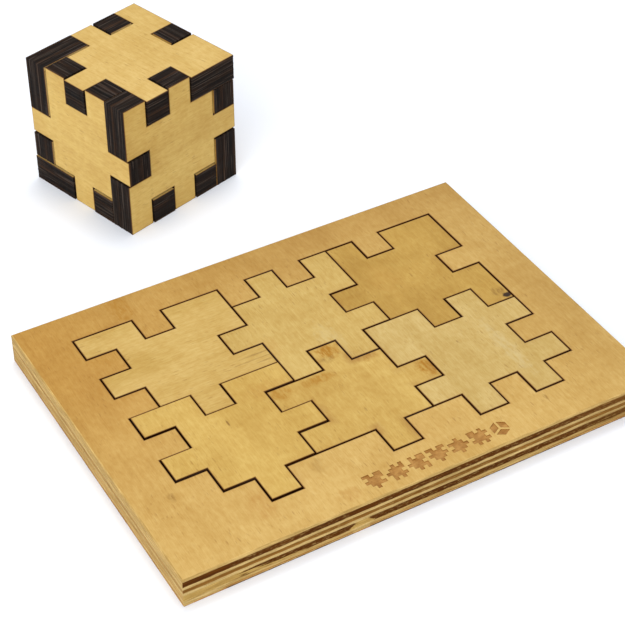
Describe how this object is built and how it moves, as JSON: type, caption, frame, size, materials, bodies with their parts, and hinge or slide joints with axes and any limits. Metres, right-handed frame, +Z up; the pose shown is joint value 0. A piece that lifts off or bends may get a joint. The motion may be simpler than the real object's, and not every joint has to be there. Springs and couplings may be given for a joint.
{
  "type": "wooden cube puzzle with tray",
  "caption": "Interlocking plywood puzzle: notched square pieces lie flat in a rectangular tray, and the same outlines build into a hollow cube beside it.",
  "frame": {"origin": "middle of the tray's underside, which rests on the table", "axes": "+Z up, +X along the tray's long side, +Y from the engraved border towards the built cube"},
  "size_m": [0.1606, 0.2167, 0.0495],
  "materials": {
    "birch_board": "sanded and lightly oiled birch plywood, sawn edges with plies showing",
    "birch_backing": "thin birch plywood, sanded, glued under the board",
    "birch_piece": "sanded birch faces with laser charred, near black edges"
  },
  "bodies": {
    "tray": {"tray_frame": "birch_board", "tray_backing": "birch_backing"},
    "tray_piece_back_left": {"tray_piece_back_left": "birch_piece"},
    "tray_piece_back_middle": {"tray_piece_back_middle": "birch_piece"},
    "tray_piece_back_right": {"tray_piece_back_right": "birch_piece"},
    "tray_piece_front_left": {"tray_piece_front_left": "birch_piece"},
    "tray_piece_front_middle": {"tray_piece_front_middle": "birch_piece"},
    "tray_piece_front_right": {"tray_piece_front_right": "birch_piece"},
    "cube_bottom": {"cube_bottom": "birch_piece"},
    "cube_top": {"cube_top": "birch_piece"},
    "cube_front_right": {"cube_front_right": "birch_piece"},
    "cube_front_left": {"cube_front_left": "birch_piece"},
    "cube_back_left": {"cube_back_left": "birch_piece"},
    "cube_back_right": {"cube_back_right": "birch_piece"}
  },
  "joints": [
    {"name": "lift_back_left", "type": "slide", "parent": "tray", "child": "tray_piece_back_left", "axis": [0, 0, 1], "range_m": [0, 0.03]},
    {"name": "lift_back_middle", "type": "slide", "parent": "tray", "child": "tray_piece_back_middle", "axis": [0, 0, 1], "range_m": [0, 0.03]},
    {"name": "lift_back_right", "type": "slide", "parent": "tray", "child": "tray_piece_back_right", "axis": [0, 0, 1], "range_m": [0, 0.03]},
    {"name": "lift_front_left", "type": "slide", "parent": "tray", "child": "tray_piece_front_left", "axis": [0, 0, 1], "range_m": [0, 0.03]},
    {"name": "lift_front_middle", "type": "slide", "parent": "tray", "child": "tray_piece_front_middle", "axis": [0, 0, 1], "range_m": [0, 0.03]},
    {"name": "lift_front_right", "type": "slide", "parent": "tray", "child": "tray_piece_front_right", "axis": [0, 0, 1], "range_m": [0, 0.03]},
    {"name": "lift_cube", "type": "slide", "parent": "tray", "child": "cube_bottom", "axis": [0, 0, 1], "range_m": [0, 0.06]},
    {"name": "pull_top", "type": "slide", "parent": "cube_bottom", "child": "cube_top", "axis": [0, 0, 1], "range_m": [0, 0.02]},
    {"name": "pull_front_right", "type": "slide", "parent": "cube_bottom", "child": "cube_front_right", "axis": [0.284, -0.9588, 0], "range_m": [0, 0.02]},
    {"name": "pull_front_left", "type": "slide", "parent": "cube_bottom", "child": "cube_front_left", "axis": [-0.9588, -0.284, 0], "range_m": [0, 0.02]},
    {"name": "pull_back_left", "type": "slide", "parent": "cube_bottom", "child": "cube_back_left", "axis": [-0.284, 0.9588, 0], "range_m": [0, 0.02]},
    {"name": "pull_back_right", "type": "slide", "parent": "cube_bottom", "child": "cube_back_right", "axis": [0.9588, 0.284, 0], "range_m": [0, 0.02]}
  ]
}
